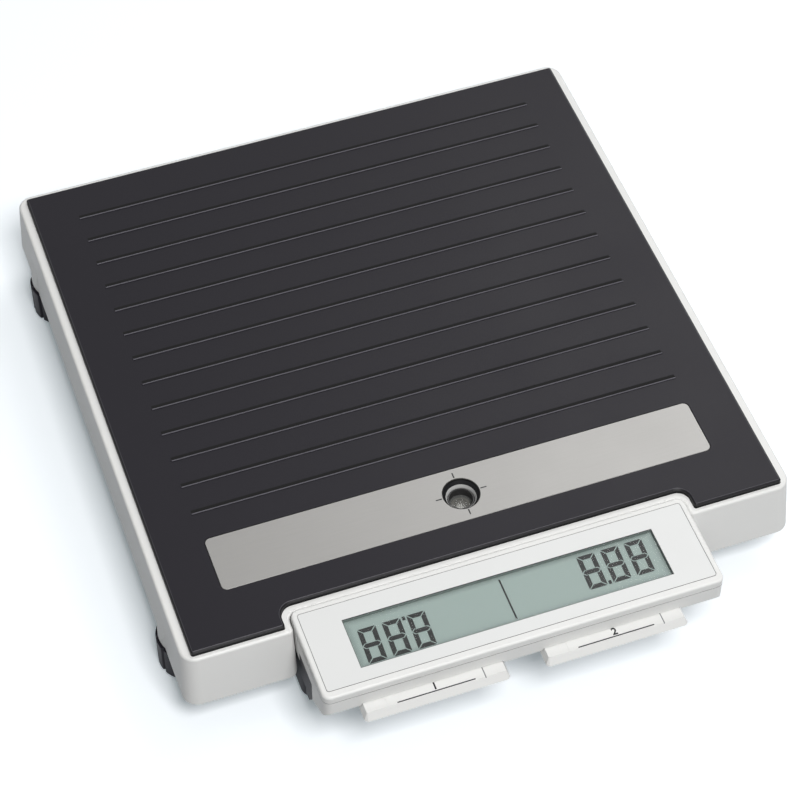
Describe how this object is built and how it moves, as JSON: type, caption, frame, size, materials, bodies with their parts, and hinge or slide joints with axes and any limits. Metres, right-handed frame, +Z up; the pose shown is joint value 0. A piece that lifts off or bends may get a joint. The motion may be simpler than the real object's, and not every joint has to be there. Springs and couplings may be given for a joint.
{
  "type": "platform scale",
  "caption": "Flat electronic platform scale with a ribbed mat, a front console with a two-way display, two foot pedals, a bullseye level and levelling feet.",
  "frame": {"origin": "on the floor under the middle of the whole object", "axes": "+Z up; -Y towards the console with its display and pedals; +X to the right for someone who stands at the console's side and looks at the platform"},
  "size_m": [0.318, 0.3642, 0.0566],
  "materials": {
    "cover_plastic": "white moulded plastic, fine satin texture",
    "tread_rubber": "anthracite moulded mat, matte",
    "strip_aluminium": "satin anodised sheet",
    "plate_steel": "zinc-coated sheet steel",
    "screw_steel": "plain zinc",
    "base_plastic": "anthracite moulded plastic",
    "bush_brass": "turned",
    "cell_aluminium": "milled",
    "lead_sleeve": "smooth cable sleeve",
    "level_plastic": "dark moulded plastic",
    "level_acrylic": "clear",
    "level_fluid": "pale clear fluid",
    "bubble": "air",
    "film": "pale grey printed film",
    "pane": "clear film",
    "display_glass": "grey-green liquid-crystal glass",
    "holder_plastic": "white moulded plastic",
    "contact_rubber": "layered contact rubber",
    "board": "green solder mask",
    "switch_plastic": "black moulded plastic",
    "cap_rubber": "soft cap",
    "spring_steel": "bright wire",
    "battery_sleeve": "plain dark sleeve",
    "contact_steel": "nickel-plated strip",
    "wheel_plastic": "anthracite, grooved rim",
    "pad_rubber": "soft grey-black rubber"
  },
  "bodies": {
    "base": {"base_frame": "base_plastic", "console_bracket": "base_plastic", "bracket_screws": "screw_steel", "foot_bushes": "bush_brass", "load_cell_screws": "screw_steel", "load_cell_leads": "lead_sleeve", "level_housing": "level_plastic", "level_vial": "level_acrylic", "level_fluid": "level_fluid", "level_bubble": "bubble", "console_top": "cover_plastic", "console_base": "cover_plastic", "console_film": "film", "console_screws": "screw_steel", "display_pane": "pane", "display_glass": "display_glass", "display_holder": "holder_plastic", "contact_strips": "contact_rubber", "main_board": "board", "pedal_switches": "switch_plastic", "pedal_pins": "screw_steel", "batteries": "battery_sleeve", "battery_contacts": "contact_steel", "pedal_spring_left": "spring_steel", "switch_cap_left": "cap_rubber", "pedal_spring_right": "spring_steel", "switch_cap_right": "cap_rubber", "load_cell_front_left": "cell_aluminium", "load_cell_front_right": "cell_aluminium", "load_cell_rear_left": "cell_aluminium", "load_cell_rear_right": "cell_aluminium"},
    "platform": {"top_cover": "cover_plastic", "tread_mat": "tread_rubber", "trim_strip": "strip_aluminium", "platform_plate": "plate_steel", "load_pads": "screw_steel", "plate_screws": "screw_steel"},
    "pedal_left": {"pedal_left": "cover_plastic"},
    "pedal_right": {"pedal_right": "cover_plastic"},
    "battery_door": {"battery_door": "base_plastic"},
    "foot_pad_front_left": {"foot_pad_front_left": "pad_rubber"},
    "foot_wheel_front_left": {"foot_wheel_front_left": "wheel_plastic", "foot_spindle_front_left": "screw_steel"},
    "foot_pad_front_right": {"foot_pad_front_right": "pad_rubber"},
    "foot_wheel_front_right": {"foot_wheel_front_right": "wheel_plastic", "foot_spindle_front_right": "screw_steel"},
    "foot_pad_rear_left": {"foot_pad_rear_left": "pad_rubber"},
    "foot_wheel_rear_left": {"foot_wheel_rear_left": "wheel_plastic", "foot_spindle_rear_left": "screw_steel"},
    "foot_pad_rear_right": {"foot_pad_rear_right": "pad_rubber"},
    "foot_wheel_rear_right": {"foot_wheel_rear_right": "wheel_plastic", "foot_spindle_rear_right": "screw_steel"}
  },
  "joints": [
    {"name": "platform_load", "type": "slide", "parent": "base", "child": "platform", "axis": [0, 0, 1], "range_m": [-0.0003, 0], "stiffness_N_per_m": 100000, "springref_m": 0.0002, "deforming": ["load_cell_front_left", "load_cell_front_right", "load_cell_rear_left", "load_cell_rear_right"]},
    {"name": "pedal_left_tilt", "type": "hinge", "parent": "base", "child": "pedal_left", "pos_m": [-0.047, -0.1495, 0.0435], "axis": [1, 0, 0], "range_deg": [0, 4], "stiffness_Nm_per_rad": 0.8, "springref_deg": -5.73, "deforming": ["pedal_spring_left", "switch_cap_left"]},
    {"name": "pedal_right_tilt", "type": "hinge", "parent": "base", "child": "pedal_right", "pos_m": [0.0432, -0.1495, 0.0435], "axis": [1, 0, 0], "range_deg": [0, 4], "stiffness_Nm_per_rad": 0.8, "springref_deg": -5.73, "deforming": ["pedal_spring_right", "switch_cap_right"]},
    {"name": "battery_door_swing", "type": "hinge", "parent": "base", "child": "battery_door", "pos_m": [0, 0.0059, 0.0071], "axis": [-1, 0, 0], "range_deg": [0, 95]},
    {"name": "foot_lift_front_left", "type": "slide", "parent": "base", "child": "foot_pad_front_left", "axis": [0, 0, 1], "range_m": [-0.006, 0]},
    {"name": "foot_turn_front_left", "type": "hinge", "parent": "foot_pad_front_left", "child": "foot_wheel_front_left", "pos_m": [-0.1436, -0.094, 0.011], "axis": [0, 0, 1], "range_deg": [-1440, 0]},
    {"name": "foot_lift_front_right", "type": "slide", "parent": "base", "child": "foot_pad_front_right", "axis": [0, 0, 1], "range_m": [-0.006, 0]},
    {"name": "foot_turn_front_right", "type": "hinge", "parent": "foot_pad_front_right", "child": "foot_wheel_front_right", "pos_m": [0.1436, -0.094, 0.011], "axis": [0, 0, 1], "range_deg": [-1440, 0]},
    {"name": "foot_lift_rear_left", "type": "slide", "parent": "base", "child": "foot_pad_rear_left", "axis": [0, 0, 1], "range_m": [-0.006, 0]},
    {"name": "foot_turn_rear_left", "type": "hinge", "parent": "foot_pad_rear_left", "child": "foot_wheel_rear_left", "pos_m": [-0.1436, 0.1456, 0.011], "axis": [0, 0, 1], "range_deg": [-1440, 0]},
    {"name": "foot_lift_rear_right", "type": "slide", "parent": "base", "child": "foot_pad_rear_right", "axis": [0, 0, 1], "range_m": [-0.006, 0]},
    {"name": "foot_turn_rear_right", "type": "hinge", "parent": "foot_pad_rear_right", "child": "foot_wheel_rear_right", "pos_m": [0.1436, 0.1456, 0.011], "axis": [0, 0, 1], "range_deg": [-1440, 0]}
  ],
  "couplings": [
    {"joint": "foot_lift_front_left", "follows": "foot_turn_front_left", "m_per_rad": 0.0002387},
    {"joint": "foot_lift_front_right", "follows": "foot_turn_front_right", "m_per_rad": 0.0002387},
    {"joint": "foot_lift_rear_left", "follows": "foot_turn_rear_left", "m_per_rad": 0.0002387},
    {"joint": "foot_lift_rear_right", "follows": "foot_turn_rear_right", "m_per_rad": 0.0002387}
  ]
}
